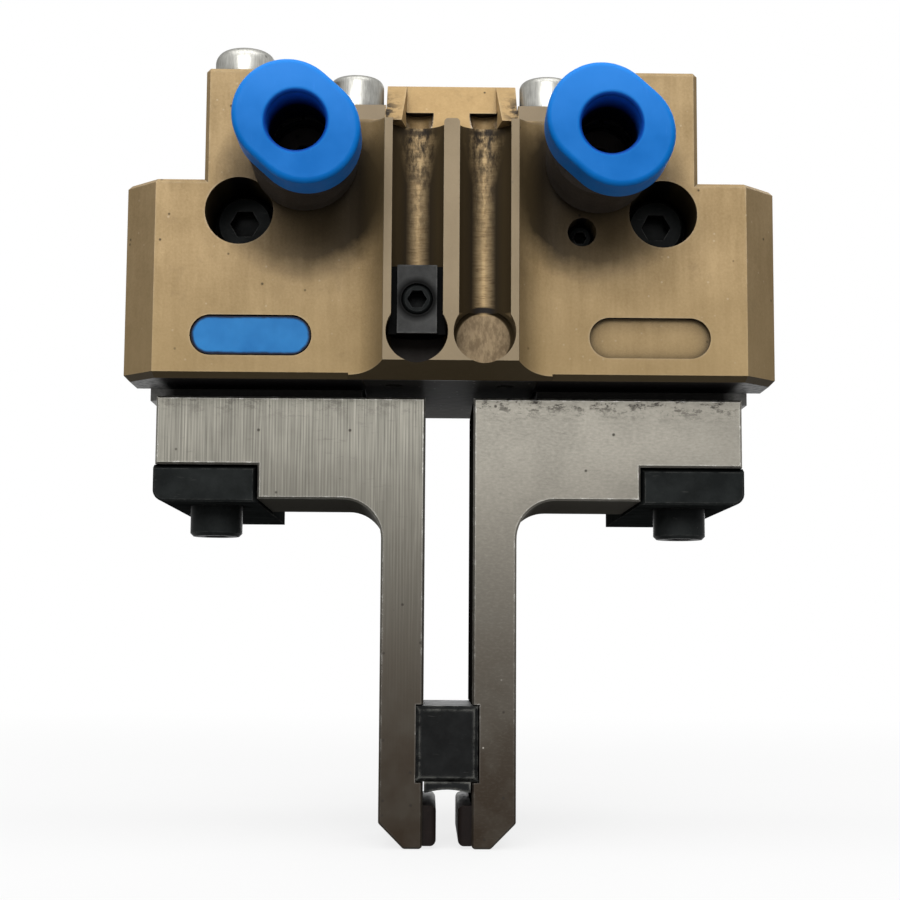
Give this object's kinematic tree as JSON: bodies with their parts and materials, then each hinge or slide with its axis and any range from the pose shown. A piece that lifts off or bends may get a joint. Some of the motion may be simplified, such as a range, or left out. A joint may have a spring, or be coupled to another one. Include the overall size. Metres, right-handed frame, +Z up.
{
  "type": "pneumatic parallel gripper",
  "caption": "Small pneumatic parallel gripper: anodised housing with push-in air fittings and sensor grooves, and slim L-shaped steel fingers on clamped base jaws.",
  "frame": {"origin": "middle of the two mounting screws, on the housing's flat back face", "axes": "+X to the right as seen from the front, +Y back through the mounting face, +Z up; the fingers point down along -Z"},
  "size_m": [0.05, 0.0414, 0.0612],
  "materials": {
    "anodised_housing": "hard-anodised, satin olive bronze",
    "anodised_cover": "hard-anodised, satin bronze",
    "ground_steel": "ground, fine lines",
    "jaw_steel": "hardened, satin grey",
    "black_steel": "black oxide, worn at the edges",
    "bright_screws": "bright zinc",
    "nickelled_brass": "nickel plated, satin",
    "collet_steel": "spring steel",
    "blue_plastic": "moulded, semi-gloss",
    "blue_plate": "printed, gloss",
    "seal_rubber": "matte",
    "pad_rubber": "matte, worn",
    "black_plastic": "moulded, matte",
    "piston_alloy": "turned",
    "magnet": "sintered, matte"
  },
  "bodies": {
    "housing": {"housing": "anodised_housing", "cylinder_cover": "anodised_cover", "cylinder_cover_seal": "seal_rubber", "cover_screws": "bright_screws", "port_plug_screw": "bright_screws", "mounting_screws": "black_steel", "bleed_screw": "black_steel", "name_plate_blank": "blue_plate", "rod_seal": "seal_rubber", "bottom_guard": "jaw_steel", "guard_screws": "jaw_steel", "fitting_body_left": "nickelled_brass", "fitting_body_right": "nickelled_brass", "fitting_gasket_left": "seal_rubber", "fitting_gasket_right": "seal_rubber", "tube_seal_left": "seal_rubber", "tube_seal_right": "seal_rubber", "collet_left": "collet_steel", "collet_right": "collet_steel", "slot_stop": "black_plastic", "slot_stop_screw": "black_steel"},
    "jaw_left": {"base_jaw_left": "jaw_steel", "finger_left": "ground_steel", "finger_dowels_left": "jaw_steel", "clamp_left": "black_steel", "clamp_screw_left": "black_steel", "tip_pad_left": "pad_rubber", "stop_block": "black_steel"},
    "jaw_right": {"base_jaw_right": "jaw_steel", "finger_right": "ground_steel", "finger_dowels_right": "jaw_steel", "clamp_right": "black_steel", "clamp_screw_right": "black_steel", "tip_pad_right": "pad_rubber"},
    "piston": {"piston": "piston_alloy", "piston_seal": "seal_rubber", "piston_magnet": "magnet", "piston_screw": "jaw_steel", "wedge_hook": "jaw_steel"},
    "release_ring_left": {"release_ring_left": "blue_plastic"},
    "release_ring_right": {"release_ring_right": "blue_plastic"}
  },
  "joints": [
    {"name": "left_jaw_slide", "type": "slide", "parent": "housing", "child": "jaw_left", "axis": [-1, 0, 0], "range_m": [0, 0.003]},
    {"name": "right_jaw_slide", "type": "slide", "parent": "housing", "child": "jaw_right", "axis": [1, 0, 0], "range_m": [0, 0.003]},
    {"name": "piston_slide", "type": "slide", "parent": "housing", "child": "piston", "axis": [0, 0, -1], "range_m": [0, 0.003]},
    {"name": "left_ring_push", "type": "slide", "parent": "housing", "child": "release_ring_left", "axis": [0, 1, 0], "range_m": [0, 0.0008], "stiffness_N_per_m": 100},
    {"name": "right_ring_push", "type": "slide", "parent": "housing", "child": "release_ring_right", "axis": [0, 1, 0], "range_m": [0, 0.0008], "stiffness_N_per_m": 100}
  ],
  "couplings": [
    {"joint": "right_jaw_slide", "follows": "left_jaw_slide", "ratio": 1},
    {"joint": "piston_slide", "follows": "left_jaw_slide", "ratio": 1}
  ]
}
